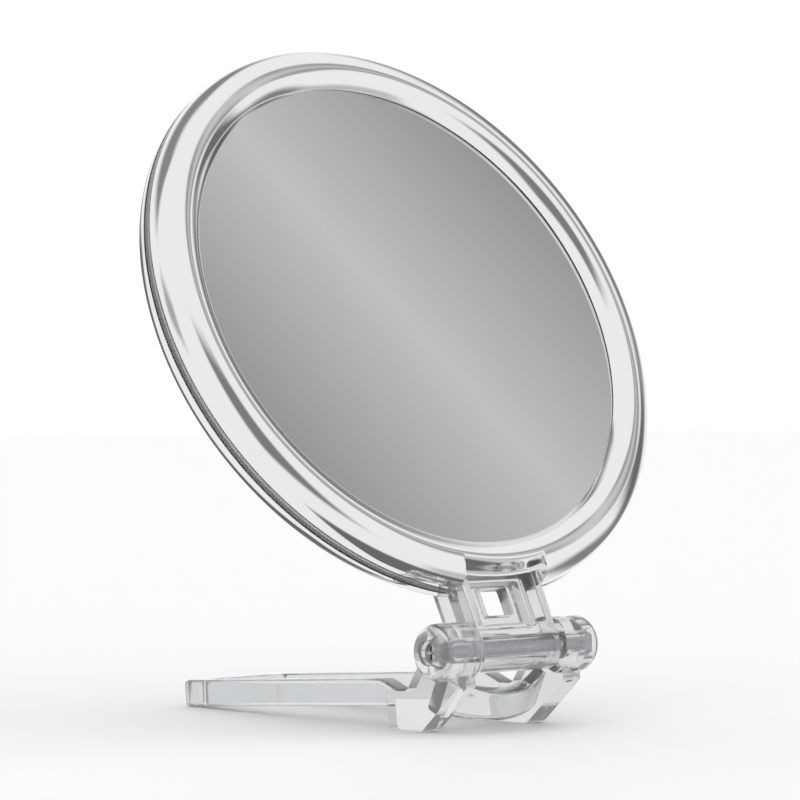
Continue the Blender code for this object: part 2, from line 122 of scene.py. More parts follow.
# %% Grid to mesh
def signed_volume(points, faces):
    """Sum of a . (b x c) / 6 over the fans of all faces: positive when faces look outwards."""
    total = 0.0
    for face in faces:
        a = points[face[:, 0]]
        for k in range(1, face.shape[1] - 1):
            total += np.einsum("ij,ij->", a, np.cross(points[face[:, k]], points[face[:, k + 1]])) / 6
    return total


def grid_mesh(name, grid, close_rows=False, close_columns=False, caps=True):
    """Quads between neighbouring points of grid[row, column]. caps fills the first and last row."""
    rows, columns = grid.shape[:2]
    index = np.arange(rows * columns).reshape(rows, columns)
    if close_rows:
        index = np.vstack([index, index[:1]])
    if close_columns:
        index = np.hstack([index, index[:, :1]])
    quads = np.stack([index[:-1, :-1], index[:-1, 1:], index[1:, 1:], index[1:, :-1]], -1).reshape(-1, 4)
    faces = [quads]
    if caps and not close_rows:
        faces += [index[:1, :columns][:, ::-1], index[-1:, :columns]]
    points = grid.reshape(-1, 3)
    if signed_volume(points, faces) < 0:
        faces = [block[:, ::-1] for block in faces]
    mesh = bpy.data.meshes.new(name)
    mesh.from_pydata(points.tolist(), [], [face for block in faces for face in block.tolist()])
    mesh.validate()
    piece = bpy.data.objects.new(name, mesh)
    bpy.context.scene.collection.objects.link(piece)
    return piece


def prism(name, outline, place, half_width, centre=0.0):
    """A closed outline (n, 2) carried straight across, by half_width (a number or an array) to each side."""
    width = np.broadcast_to(half_width, len(outline))
    ends = [np.column_stack([centre + side * width, outline]) for side in (-1, 1)]
    return grid_mesh(name, place(np.array(ends)), close_columns=True)


def turned(name, profile, place, steps=96, closed=False):
    """A profile (n, 2) of (radius, height) turned about the height axis; place gets (x, y, height)."""
    angle = np.linspace(0, 2 * pi, steps, endpoint=False)[:, None]
    radius, height = profile[None, :, 0], profile[None, :, 1]
    ring = np.stack([radius * np.cos(angle), radius * np.sin(angle), height + 0 * angle], -1)
    piece = grid_mesh(name, place(ring), close_rows=True, close_columns=closed)
    if not closed:
        weld(piece)
    return piece


def weld(piece, distance=1e-6):
    """Merges the points of a pole, where a whole row or column meets."""
    bm = bmesh.new()
    bm.from_mesh(piece.data)
    bmesh.ops.remove_doubles(bm, verts=bm.verts, dist=distance)
    bmesh.ops.dissolve_degenerate(bm, edges=bm.edges, dist=distance)
    bm.to_mesh(piece.data)
    bm.free()


def settle(piece):
    """Replaces a piece's mesh by what its modifiers make of it."""
    graph = bpy.context.evaluated_depsgraph_get()
    mesh = bpy.data.meshes.new_from_object(piece.evaluated_get(graph))
    piece.modifiers.clear()
    old = piece.data
    piece.data = mesh
    bpy.data.meshes.remove(old)


def combine(piece, tools, operation):
    """Unites tools with a piece, or cuts them out of it, and removes them."""
    for tool in tools:
        boolean = piece.modifiers.new(tool.name, "BOOLEAN")
        boolean.operation = operation
        boolean.object = tool
        boolean.solver = "EXACT"
        settle(piece)
        bpy.data.objects.remove(tool, do_unlink=True)
    return piece


def soften(piece, width, segments=3, angle=35):
    """Rounds every edge sharper than an angle, as a polished mould does."""
    bevel = piece.modifiers.new("edges", "BEVEL")
    bevel.width = width * MM
    bevel.segments = segments
    bevel.limit_method = "ANGLE"
    bevel.angle_limit = radians(angle)
    bevel.miter_outer = "MITER_ARC"
    return piece


def arc(centre, radii, start, end, steps):
    """Points on an elliptical arc, angles in degrees."""
    angle = np.radians(np.linspace(start, end, steps + 1))
    return np.column_stack([centre[0] + radii[0] * np.cos(angle), centre[1] + radii[1] * np.sin(angle)])


def rounded(corners, per_arc=8):
    """Outline through (x, y, radius) corners, each replaced by the arc that touches both of its sides."""
    outline = []
    spots = np.array([corner[:2] for corner in corners], float)
    for i, (*_, radius) in enumerate(corners):
        here = spots[i]
        into = spots[i - 1] - here
        out = spots[(i + 1) % len(spots)] - here
        into, out = into / np.linalg.norm(into), out / np.linalg.norm(out)
        if not radius:
            outline.append(here[None])
            continue
        half = acos(np.clip(into @ out, -1, 1)) / 2
        centre = here + (into + out) / np.linalg.norm(into + out) * radius / sin(half)
        first = here + into * radius / tan(half) - centre
        last = here + out * radius / tan(half) - centre
        start = atan2(first[1], first[0])
        sweep = (atan2(last[1], last[0]) - start + pi) % (2 * pi) - pi
        turn = start + sweep * np.linspace(0, 1, per_arc + 1)
        outline.append(centre + radius * np.column_stack([np.cos(turn), np.sin(turn)]))
    return np.vstack(outline)


def smooth(value):
    """3 v^2 - 2 v^3 between 0 and 1: starts and ends level."""
    value = np.clip(value, 0, 1)
    return value * value * (3 - 2 * value)


# %% [markdown]
# A finish is a small network of nodes. One function adds a node, sets it and links it. Colours are written
# as sRGB hex, the way a colour picker shows them, and another function turns them to the linear values that
# a renderer works in.

# %% Material helpers
def colour(code):
    """sRGB hex to linear RGBA: c / 12.92 below 0.04045, else ((c + 0.055) / 1.055) ^ 2.4."""
    value = np.array([int(code[i:i + 2], 16) for i in (1, 3, 5)]) / 255
    linear = np.where(value <= 0.04045, value / 12.92, ((value + 0.055) / 1.055) ** 2.4)
    return (*linear.tolist(), 1.0)


def node(mat, kind, links=None, **settings):
    """Adds a node. Settings name its properties or sockets, and links map its sockets to other outputs."""
    made = mat.node_tree.nodes.new(kind)
    for name, value in settings.items():
        if hasattr(made, name):
            setattr(made, name, value)
        else:
            made.inputs[name.replace("_", " ")].default_value = value
    for name, source in (links or {}).items():
        mat.node_tree.links.new(source, made.inputs[name])
    return made


def finish_named(name, **settings):
    """A material with a Principled shader, whose own sockets hold what is the same all over."""
    mat = bpy.data.materials.new(name)
    mat.use_nodes = True
    shader = mat.node_tree.nodes["Principled BSDF"]
    for socket, value in settings.items():
        shader.inputs[socket.replace("_", " ")].default_value = value
    return mat, shader


def spread(mat, shader, socket, low, high, scale_mm, detail=3.0):
    """Varies a socket between two values with soft noise whose patches are scale_mm wide."""
    place = node(mat, "ShaderNodeTexCoord")
    noise = node(mat, "ShaderNodeTexNoise", {"Vector": place.outputs["Object"]}, Scale=1 / (scale_mm * MM),
                 Detail=detail)
    ramp = node(mat, "ShaderNodeMapRange", {"Value": noise.outputs["Fac"]}, From_Min=0.3, From_Max=0.7,
                To_Min=low, To_Max=high)
    mat.node_tree.links.new(ramp.outputs["Result"], shader.inputs[socket])


def relief(mat, shader, height_mm, *sources):
    """Bump from the sum of some outputs, as high as given in mm."""
    total = sources[0]
    for source in sources[1:]:
        total = node(mat, "ShaderNodeMath", {0: total, 1: source}, operation="ADD").outputs[0]
    bump = node(mat, "ShaderNodeBump", {"Height": total}, Distance=height_mm * MM, Strength=1.0)
    mat.node_tree.links.new(bump.outputs["Normal"], shader.inputs["Normal"])


def noise_at(mat, scale_mm, detail, stretch=(1, 1, 1)):
    """Noise with patches scale_mm wide, longer along an axis whose stretch is under 1."""
    place = node(mat, "ShaderNodeTexCoord")
    shape = node(mat, "ShaderNodeMapping", {"Vector": place.outputs["Object"]})
    shape.inputs["Scale"].default_value = stretch
    return node(mat, "ShaderNodeTexNoise", {"Vector": shape.outputs["Vector"]}, Scale=1 / (scale_mm * MM),
                Detail=detail).outputs["Fac"]


# %% [markdown]
# The handle and the head's frame are moulded in clear SAN, a stiff relative of polystyrene with an IOR of
# about 1.57. The mould is polished, so the surface is glossy, but the plastic shrinks unevenly as it cools,
# and that leaves slow waves that bend the highlights. The faint grey of the colour is what thick clear
# plastic absorbs, and the little that doesn't pass through stands for the haze of fine scratches.

# %% Clear SAN
clear_san, shader = finish_named("clear_san_moulded", Base_Color=colour("#ECEEEF"), IOR=1.57,
                                 Transmission_Weight=0.88, Roughness=0.04)
spread(clear_san, shader, "Roughness", 0.02, 0.07, scale_mm=9)
relief(clear_san, shader, 0.012, noise_at(clear_san, 7.0, 1.0), noise_at(clear_san, 2.5, 1.0))

# %% [markdown]
# The two bezels are plastic with a vacuum-plated silver skin. The plating follows every ripple of the
# moulding, so its reflections swim a little, and handling leaves a fine haze that shows as uneven gloss.

# %% Plated bezel
plated, shader = finish_named("plated_plastic_bright", Base_Color=colour("#F1F2F3"), Metallic=1.0,
                              Roughness=0.07)
spread(plated, shader, "Roughness", 0.045, 0.095, scale_mm=14)
relief(plated, shader, 0.006, noise_at(plated, 11.0, 1.0))

# %% [markdown]
# The mirror is float glass with silver on its back. Seen from the front it acts as one smooth metal with
# the slight grey-green of the glass over it, and only a trace of smear breaks up its gloss.

# %% Silvered glass
silvered, shader = finish_named("silvered_float_glass", Base_Color=colour("#E3E6E5"), Metallic=1.0,
                                Roughness=0.01)
spread(silvered, shader, "Roughness", 0.004, 0.02, scale_mm=22, detail=5.0)

# %% [markdown]
# The small parts: zinc-plated steel for the screw, nut and spring washer, white nylon for the friction
# washers, and tape and card inside the head.

# %% Small finishes
zinc_steel, shader = finish_named("zinc_plated_steel", Base_Color=colour("#B9BCBF"), Metallic=1.0,
                                  Roughness=0.3)
spread(zinc_steel, shader, "Roughness", 0.22, 0.4, scale_mm=1.2)
relief(zinc_steel, shader, 0.01, noise_at(zinc_steel, 0.5, 2.0))

nylon, shader = finish_named("natural_nylon", Base_Color=colour("#E6E5DF"), Roughness=0.45, IOR=1.53,
                             Subsurface_Weight=0.1)
spread(nylon, shader, "Roughness", 0.4, 0.55, scale_mm=1.5)
relief(nylon, shader, 0.01, noise_at(nylon, 0.6, 2.0))

tape, shader = finish_named("mounting_tape", Base_Color=colour("#7A7A7C"), Roughness=0.85)
spread(tape, shader, "Roughness", 0.75, 0.95, scale_mm=0.8)
relief(tape, shader, 0.05, noise_at(tape, 0.7, 3.0))

card, shader = finish_named("grey_card", Base_Color=colour("#B2AFA9"), Roughness=0.9)
spread(card, shader, "Roughness", 0.8, 0.95, scale_mm=1.0)
relief(card, shader, 0.03, noise_at(card, 0.8, 4.0, stretch=(1, 0.2, 1)))


def complete(piece, mat, body, replaced, crease=30):
    """Gives a piece its finish and its place in the assembly."""
    piece.data.materials.clear()
    piece.data.materials.append(mat)
    piece.data.shade_smooth()
    piece.data.set_sharp_from_angle(angle=radians(crease))
    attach(piece, body)
    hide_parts(replaced)
    print(f"{piece.name}: {len(piece.data.polygons)} faces")
    return piece


# %% [markdown]
# ## The bezels
#
# Each bezel is a ring with a hollow section, like half of a bicycle tyre. It could be a plain solid of
# revolution, but at the bottom the neck of the frame passes through it. There the front bezel sweeps down in
# an S onto the face of the neck, and the back one stops short of it. So the section changes with the angle:
# one section for the rim, one for the neck, and a short ramp between them.

# %% Bezel sections
RIM_RADIUS = (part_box("front_bezel")[1][0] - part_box("front_bezel")[0][0]) / 2 / MM
CREST_INSET = 6.8
CREST_RADIUS = RIM_RADIUS - CREST_INSET
CREST_HEIGHT = 7.5
OUTER_FOOT = 1.35             # mid-plane to the edge at the seam
BULGE = 2.2                   # fullness of the outer flank
WALL = 1.25                   # under the crest
SIDE_WALL = 1.2
NECK_HALF = 13.0
NECK_FACE = 3.15              # mid-plane to the front of the neck
NECK_MEETS = 70               # radius at which the neck's sides cross the rim
RAMP = 0.35                   # width over which one section becomes the other


def squircle(centre, radii, power, start, end, steps):
    """Arc of |x/a|^p + |y/b|^p = 1: fuller than an ellipse where p is over 2."""
    angle = np.radians(np.linspace(start, end, steps + 1))
    c, s = np.cos(angle), np.sin(angle)
    return np.column_stack([centre[0] + radii[0] * np.sign(c) * np.abs(c) ** (2 / power),
                            centre[1] + radii[1] * np.sign(s) * np.abs(s) ** (2 / power)])


def rim_section():
    """Lip, inner flank, crest, outer flank, seam edge and then the hollow inside, as one loop."""
    flank = arc((CREST_RADIUS, 0.73), (6.2, 6.77), 146.1, 90, 18)
    centre = (CREST_RADIUS, OUTER_FOOT)
    outer = squircle(centre, (CREST_INSET, CREST_HEIGHT - OUTER_FOOT), BULGE, 90, 0, 26)[1:]
    hollow = squircle(centre, (CREST_INSET - SIDE_WALL, CREST_HEIGHT - OUTER_FOOT - WALL), BULGE, 0, 90, 16)
    lip = np.array([(65.3, 4.9), (65.1, 4.25), (63.35, 4.2), (63.12, 4.3)])
    return flank, outer, hollow, lip


def neck_section(front):
    """As many points, with the outer flank pulled in to fall as 1 - (3 t^2 - 2 t^3) to its foot."""
    flank, outer, hollow, lip = rim_section()
    t = np.linspace(0, 1, len(outer) + 1)[1:]
    if front:
        reach, wall, foot, bend = 3.4, 0.9, NECK_FACE + 0.12, t
    else:
        reach, wall, foot, bend = 0.7, 0.55, 1.6, t ** 0.5
    outer = np.column_stack([CREST_RADIUS + reach * bend, foot + (CREST_HEIGHT - foot) * (1 - smooth(t))])
    outer[-2:, 1] = foot
    t = np.linspace(1, 0, len(hollow))
    drop = (CREST_HEIGHT - WALL - foot) * (1 - smooth(t))
    hollow = np.column_stack([CREST_RADIUS + (reach - wall) * t, foot + drop])
    return flank, outer, hollow, lip


def bezel(name, front):
    """Section carried round the head, with the neck's section where |x| is under NECK_HALF.

    Near the neck the sections stand side by side instead of fanning out, so that its edges are straight.
    """
    rim, neck = (np.vstack(parts) for parts in (rim_section(), neck_section(front)))
    edge = NECK_HALF + np.array([-0.25, -0.1, 0.0, 0.1, 0.25, 0.4])
    extra = np.arcsin(np.concatenate([edge, -edge]) / NECK_MEETS)
    angle = np.unique(np.concatenate([np.linspace(-pi, pi, 320, endpoint=False), extra]))[:, None]
    column = NECK_MEETS * np.sin(angle)
    facing = np.abs(angle) < pi / 2
    share = np.where(facing, smooth((np.abs(column) - NECK_HALF + 0.1) / RAMP), 1)
    section = neck[None] * (1 - share[..., None]) + rim[None] * share[..., None]
    radius, rise = section[..., 0], section[..., 1]
    straight = np.arcsin(np.clip(column / radius, -1, 1))
    keep = 1 - smooth((np.abs(angle) - 0.25) / 0.35)
    turn = np.where(facing, angle + keep * (straight - angle), angle)
    rise = rise if front else -rise
    grid = np.stack([radius * np.sin(turn), -radius * np.cos(turn), rise], -1)
    return grid_mesh(name, on_head(grid), close_rows=True, close_columns=True)


complete(bezel("front_bezel_skin", True), plated, "head", "front_bezel", crease=50)
complete(bezel("rear_bezel_skin", False), plated, "head", "rear_bezel", crease=50)

# %% [markdown]
# ## The glasses
#
# The front glass is flat float glass with ground edges. The back one is slumped over a dish, which makes it
# concave so that it magnifies: both of its faces lie on spheres of about 1.2 m. The edges are hidden under
# the bezels, so a small chamfer is enough there.

# %% Glasses
GLASS_RADIUS = (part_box("plain_mirror_glass")[1][0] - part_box("plain_mirror_glass")[0][0]) / 2 / MM
DISH = 1.8
CHAMFER = 0.3


def glass_section(outer_face, inner_face, sag):
    """Disc from the axis out and back: outer face, chamfered edge, inner face. Sag falls as r squared."""
    radius = np.linspace(0, GLASS_RADIUS - CHAMFER, 28)
    dip = sag * (1 - (radius / GLASS_RADIUS) ** 2)
    face = np.column_stack([radius, outer_face + dip])
    back = np.column_stack([radius, inner_face + dip])[::-1]
    side = np.sign(outer_face)
    edge = np.array([(GLASS_RADIUS, outer_face - side * CHAMFER),
                     (GLASS_RADIUS, inner_face + side * CHAMFER)])
    return np.vstack([face, edge, back])


inner = GLASS_FACE - GLASS_THICKNESS
plain = turned("plain_mirror", glass_section(GLASS_FACE, inner, 0.0), on_head, steps=160)
complete(plain, silvered, "head", "plain_mirror_glass")
dished = turned("magnifying_mirror", glass_section(-GLASS_FACE, -inner, DISH), on_head, steps=160)
complete(dished, silvered, "head", "magnifying_mirror_glass")

# %% [markdown]
# ## The clear frame and neck
#
# One moulding runs round inside the bezels, shows as a thin line between them, and comes out at the bottom
# as the neck. The neck is a thick block that is cored out from both sides, as mouldings are so that they
# cool evenly. What is left is a thin web with a window, and the barrel that turns in the hinge.

# %% Core frame
BARREL_RADIUS = 5.6
NECK_DEPTH = 10.5
NECK_TOP = -69.2              # how far up the neck reaches, from the head's middle
BARREL_HALF = 12.6
NECK_FLARE = 0.4              # each side widens by this much over FLARE_RUN
FLARE_RUN = 19
BORE = 1.6
WEB = 3.3
POCKET = (10.4, axis_up + 4.3, axis_up + 17.2)     # half width, lower edge, upper edge
WINDOW = (4.2, axis_up + 7.9, axis_up + 15.4)
BEYOND = 30                   # past the end of whatever is cut


def barrel_outline():
    """Side view of the neck: front face, round the barrel, back face. The barrel is wider than the neck."""
    half = NECK_DEPTH / 2
    meet = degrees(acos(half / BARREL_RADIUS))
    turn = arc((0, 0), (BARREL_RADIUS, BARREL_RADIUS), meet, -180 - meet, 40)
    outline = np.column_stack([axis_up + turn[:, 1], axis_out + turn[:, 0]])
    return np.vstack([[(NECK_TOP, axis_out + half)], outline, [(NECK_TOP, axis_out - half)]])


def rounded_box(name, half, low, high, back, front, radius=0.9):
    """Straight-sided pocket through the head: a rounded rectangle carried from back to front."""
    plan = rounded([(-half, low, radius), (half, low, radius), (half, high, radius), (-half, high, radius)])
    grid = np.array([np.column_stack([plan, np.full(len(plan), level)]) for level in (back, front)])
    return grid_mesh(name, on_head(grid), close_columns=True)


def along_axis(place, offset_up, offset_out):
    """A place function that lays the height of a turned piece along the hinge axis."""
    def laid(ring):
        return place(np.stack([ring[..., 2], ring[..., 1] + offset_up, ring[..., 0] + offset_out], -1))

    return laid


def rod(name, radius, start, end, place, steps=64):
    """Plain cylinder on the hinge axis."""
    return turned(name, np.array([(0, start), (radius, start), (radius, end), (0, end)]), place, steps)


def core_frame():
    """Ring, neck and barrel united, then cored and bored."""
    half_section = np.array([(65.3, 3.55), (68.2, 3.55), (72.4, 1.1), (74.7, 1.1), (74.9, 0.9)])
    section = np.vstack([half_section, half_section[::-1] * (1, -1)])
    ring = turned("clear_core_frame", section, on_head, steps=240, closed=True)
    outline = barrel_outline()
    width = BARREL_HALF + NECK_FLARE * np.clip((outline[:, 0] - axis_up) / FLARE_RUN, 0, 1)
    neck = prism("neck", outline, on_head, width)
    combine(ring, [neck], "UNION")
    face, back = axis_out + WEB / 2, axis_out - WEB / 2
    half, low, high = POCKET
    tools = [rounded_box("front_core", half, low, high, face, 20),
             rounded_box("back_core", half, low, high, -20, back),
             rounded_box("window", *WINDOW, -20, 20, radius=0.5),
             rod("bore", BORE, -BEYOND, BEYOND, along_axis(on_head, axis_up, axis_out))]
    return combine(ring, tools, "DIFFERENCE")


complete(soften(core_frame(), 0.28), clear_san, "head", "core_frame", crease=40)

# %% [markdown]
# ## The handle
#
# The handle is also one moulding. It is built up the way its mould is cut: a flat loop for the hand, a side
# plate with a foot on each side, a bowed cross-piece that ties the feet together, and two knuckles. Their
# union is bored for the screw, and every edge is then rounded a little.

# %% Loop of the handle
FOOT_BACK = 20.3              # hinge axis to the heel of the foot
RAIL_WIDTH = 5.0
END_BAR = 6.4
RAIL_HALF = (19.4, 17.0)      # centre to the outer side of the rails, at the feet and at the free end


def path_with_corners(corners, radius, straight=14, bend=14):
    """Open path round two corners: straight, arc, straight, arc, straight, always with the same count."""
    radii = (0, radius, radius, 0)
    points = rounded([(*corner, r) for corner, r in zip(corners, radii)], bend)
    start, end = points[:1], points[-1:]
    first, second = points[1:bend + 2], points[bend + 2:2 * bend + 3]
    t = np.linspace(0, 1, straight, endpoint=False)[:, None]
    runs = [start + (first[:1] - start) * t, first[:-1], first[-1:] + (second[:1] - first[-1:]) * t,
            second[:-1], second[-1:] + (end - second[-1:]) * np.linspace(0, 1, straight + 1)[:, None]]
    return np.vstack(runs)


def band(name, inside, outside, level_low, level_high, place, power=7):
    """Rounded-rectangle section between two paths with the same count, from a low to a high level."""
    corner = squircle((0, 0), (1, 1), power, 0, 360, 48)[:-1]
    across, lift = (corner[:, 0] + 1) / 2, (corner[:, 1] + 1) / 2
    plan = inside[:, None] + (outside - inside)[:, None] * across[None, :, None]
    low, high = (level(plan) if callable(level) else level for level in (level_low, level_high))
    rise = low + (high - low) * lift[None] + 0 * plan[..., 0]
    return grid_mesh(name, place(np.dstack([plan, rise])), close_columns=True)


def grip_loop():
    """Rounded-rectangle section between an outer and an inner path. Its top dips where it meets the feet."""
    front = FOOT_BACK - 1.4

    def u_path(inset, reach, radius):
        outer, end = (half - inset for half in RAIL_HALF)
        return path_with_corners([(outer, front), (end, reach), (-end, reach), (-outer, front)], radius)

    outside = u_path(0, HANDLE_REACH, 5.0)
    inside = u_path(RAIL_WIDTH, HANDLE_REACH - END_BAR, 3.2)

    def top(plan):
        return -RAIL_TOP - 2.7 * smooth((FOOT_BACK + 5 - plan[..., 1]) / 6.5)

    return band("clear_handle", inside, outside, -RAIL_BOTTOM, top, on_handle)


# %% [markdown]
# Each side plate is a dog-leg: from the knuckle down and back to a flat foot, then up behind it to meet the
# rail. Its outline is drawn in the handle's own directions, but the foot has to lie flat on the table, so
# the points of the foot are first given level with the table and then turned into the rails' frame.

# %% Side plates, cross-piece and knuckles
KNUCKLE_RADIUS = 6.88
CHEEK = (14.2, 20.0)          # inner and outer side of each plate
ARM_FRONT = 9.1               # hinge axis to the front of the arm
ARM_SLOPE = radians(41)
BROW = 8.1                    # how far down the arm's front starts to slope
BOW = 4.2                     # how far the cross-piece's middle stands forward


def level_point(back, down):
    """A point given straight back and straight down from the hinge axis, in the rails' directions."""
    return back * cos(tilt) + down * sin(tilt), back * sin(tilt) - down * cos(tilt)


def side_plate(name, side):
    """Dog-leg outline carried across the width of the cheek."""
    def on_front(down):
        return level_point((down * cos(ARM_SLOPE) - ARM_FRONT) / sin(ARM_SLOPE), down)

    brow, toe, heel = on_front(BROW), on_front(height), level_point(FOOT_BACK, height)
    outline = rounded([(-3.1, -2.0, 0), (*brow, 1.2), (*toe, 4.5), (*heel, 1.3), (heel[0] + 0.5, -8.6, 1.0),
                       (14.7, -9.4, 2.6), (5.0, 3.0, 0)])
    half = (CHEEK[1] - CHEEK[0]) / 2
    return prism(name, outline, on_handle, half, centre=side * (CHEEK[0] + half))


def cross_piece():
    """U-shaped band on a steep slope, with its middle standing forward of its ends."""
    slope, thickness, distance = radians(61.4), 4.0, 5.0
    top, bottom, outer, inside = 9.7, 17.4, 17.1, 13.8
    lower = arc((0, -bottom + 6.2), (outer, 6.2), 180, 360, 48)
    upper = arc((0, -top * 0.3), (inside, top * 0.7), 180, 360, 48)
    ends = np.array([(-1, -2.2), (1, -2.2)])
    lower = np.vstack([ends[:1] * (outer, 1), lower, ends[1:] * (outer, 1)])
    upper = np.vstack([ends[:1] * (inside, 1), upper, ends[1:] * (inside, 1)])
    down = np.array([cos(slope), -sin(slope)])
    forward = np.array([-sin(slope), -cos(slope)])

    def place(points):
        spot = points[..., 2:] * forward - points[..., 1:2] * down
        bow = BOW * (points[..., 0] / CHEEK[0]) ** 2
        return on_handle(np.stack([points[..., 0], spot[..., 0] + bow, spot[..., 1]], -1))

    return band("cross_piece", upper, lower, distance - thickness, distance, place)


KNUCKLE = (13.4, 25.8)        # centre to its inner and outer end
NOSE = 3.7                    # rounding of the outer end
RECESS_FLOOR = 21.4
RECESS_RADII = {-1: 3.0, 1: 3.48}     # round the screw's head, and round the nut's corners
WASHER_RADIUS = 4.8
WASHER_SEAT = (12.0, 13.7)
on_axis = along_axis(on_handle, 0, 0)


def knuckle(name, side):
    """Short cylinder with a well rounded outer end."""
    start, end = KNUCKLE
    nose = arc((end - NOSE, KNUCKLE_RADIUS - NOSE), (NOSE, NOSE), 0, 90, 14)
    profile = np.vstack([[(0, end)], nose[:, ::-1], [(KNUCKLE_RADIUS, start), (0, start)]])
    profile[:, 1] *= side
    return turned(name, profile, on_axis, steps=96)


def folding_handle():
    """Everything united, then the washer seats, recesses and bore cut out."""
    handle = grip_loop()
    add = [cross_piece()]
    for side, label in ((-1, "left"), (1, "right")):
        add += [side_plate(label + "_plate", side), knuckle(label + "_knuckle", side)]
    combine(handle, add, "UNION")
    cut = [rod("bore", BORE, -BEYOND, BEYOND, on_axis)]
    for side, recess in RECESS_RADII.items():
        cut.append(rod("recess", recess, side * RECESS_FLOOR, side * BEYOND, on_axis))
        cut.append(rod("seat", WASHER_RADIUS + 0.3, side * WASHER_SEAT[0], side * WASHER_SEAT[1], on_axis))
    return combine(handle, cut, "DIFFERENCE")


complete(soften(folding_handle(), 0.3), clear_san, "handle", "folding_handle", crease=40)

# %% [markdown]
# ## The hinge hardware
#
# A pan-head screw runs through both knuckles and the barrel into a nut. A wavy spring washer under its head
# keeps the squeeze even as the nylon washers wear, and that squeeze is what holds the head at any angle.

# %% Screw, nut and washers
SPRING = 0.6                  # thickness of the spring washer
HEAD_START = RECESS_FLOOR + SPRING + 0.6
HEAD_END = HEAD_START + 1.8
HEAD_RADIUS = 2.7
SHANK_RADIUS = 1.5
THREAD_PITCH, THREAD_DEPTH = 0.5, 0.16
NUT = (RECESS_FLOOR + 0.3, RECESS_FLOOR + 2.7)
NUT_CORNER = 5.5 / sqrt(3)    # 5.5 across its flats
SCREW_END = NUT[1] + 0.4


def hinge_screw():
    """Domed head, plain shank with fine thread rings near its end, and a cross cut into the head."""
    dome = arc((0, -HEAD_END + 0.6), (HEAD_RADIUS, 0.6), 270, 360, 10)
    under_head = [(HEAD_RADIUS, -HEAD_START), (SHANK_RADIUS, -HEAD_START), (SHANK_RADIUS, 7.8)]
    thread = np.linspace(8, SCREW_END, 260)
    ridge = SHANK_RADIUS - THREAD_DEPTH * np.abs((thread / THREAD_PITCH) % 2 - 1)
    profile = np.vstack([dome, under_head, np.column_stack([ridge, thread]), [(0, SCREW_END)]])
    screw = turned("hinge_screw_steel", profile, on_axis, steps=48)
    arms = []
    steps = ((1, -1), (1, 0.2), (0.55, 1.1))
    for wide, tall in ((1.7, 0.38), (0.38, 1.7)):
        corner = np.array([(-wide, -tall), (wide, -tall), (wide, tall), (-wide, tall)])
        grid = np.array([np.column_stack([corner * scale, np.full(4, -HEAD_END + depth)])
                         for scale, depth in steps])
        arms.append(grid_mesh("cross", on_axis(grid), close_columns=True))
    return combine(screw, arms, "DIFFERENCE")


def washer(name, radius, start, end, wave=0.0):
    """Flat ring with rounded rims. A wave lifts it three times in a turn."""
    hole, rim = 1.65, 0.12
    loop = rounded([(hole, start, rim), (radius, start, rim), (radius, end, rim), (hole, end, rim)], 3)
    angle = np.linspace(0, 2 * pi, 96, endpoint=False)[:, None]
    radius_here, level = loop[None, :, 0], loop[None, :, 1] + wave * np.cos(3 * angle)
    grid = np.stack([radius_here * np.cos(angle), radius_here * np.sin(angle), level], -1)
    return grid_mesh(name, on_axis(grid), close_rows=True, close_columns=True)


def hex_nut():
    """Hexagon with a bore; the corners are turned down by the bevel."""
    angle = np.radians(np.arange(0, 360, 60))
    corner = NUT_CORNER * np.column_stack([np.cos(angle), np.sin(angle)])
    grid = np.array([np.column_stack([corner, np.full(6, level)]) for level in NUT])
    nut = grid_mesh("hinge_nut_steel", on_axis(grid), close_columns=True)
    return combine(nut, [rod("thread", BORE, 0, 40, on_axis)], "DIFFERENCE")


complete(hinge_screw(), zinc_steel, "handle", "hinge_screw")
complete(soften(hex_nut(), 0.2), zinc_steel, "handle", "hinge_nut")
spring = washer("spring_washer_steel", 2.65, -RECESS_FLOOR - SPRING - 0.2, -RECESS_FLOOR - 0.4, wave=0.08)
complete(spring, zinc_steel, "handle", "spring_washer")
for side, label in ((-1, "left"), (1, "right")):
    near, far = sorted((side * 12.9, side * 13.4))
    ring = washer(label + "_nylon_washer", WASHER_RADIUS, near, far)
    complete(ring, nylon, "handle", label + "_friction_washer")

# %% [markdown]
# ## What stays as it is
#
# Inside the head are two rings of tape and a disc of card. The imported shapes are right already, so they
# only take a finish.

# %% Finishes of the kept pieces
for name, mat in (("front_tape_ring", tape), ("rear_tape_ring", tape), ("card_spacer", card)):
    kept = frame["nodes"][name].data
    kept.materials.clear()
    kept.materials.append(mat)

# %% [markdown]
# ## Studio
#
# Clear plastic and plated rims show little but their surroundings, so the room matters as much as the
# finishes. It is a pale tent, all round and underneath, with a few soft grey panels hung in it: they are
# what draws the dark edges and streaks. The tent is a world shader, because a direction is all that it
# depends on. Each panel is a soft-edged rectangle in azimuth and elevation, which may be turned. Only
# reflections and refractions see the panels. The floor is lit by plain white light from all round, and it
# is itself hidden from reflections and refractions, which see the tent carry on underneath instead.

# %% Floor
scene = bpy.context.scene
scene.view_settings.view_transform = "Standard"

corners = np.array([[(-6, -6, 0), (6, -6, 0)], [(-6, 6, 0), (6, 6, 0)]], float)
floor = grid_mesh("floor", corners, caps=False)
floor_mat, shader = finish_named("pale_floor", Base_Color=colour("#FBFBFB"), Roughness=0.6,
                                 Specular_IOR_Level=0.1)
floor.data.materials.append(floor_mat)
floor.visible_glossy = False
floor.visible_transmission = False
floor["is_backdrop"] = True

# %% Tent
world = bpy.data.worlds.new("studio_tent")
scene.world = world
world.use_nodes = True
background = world.node_tree.nodes["Background"]


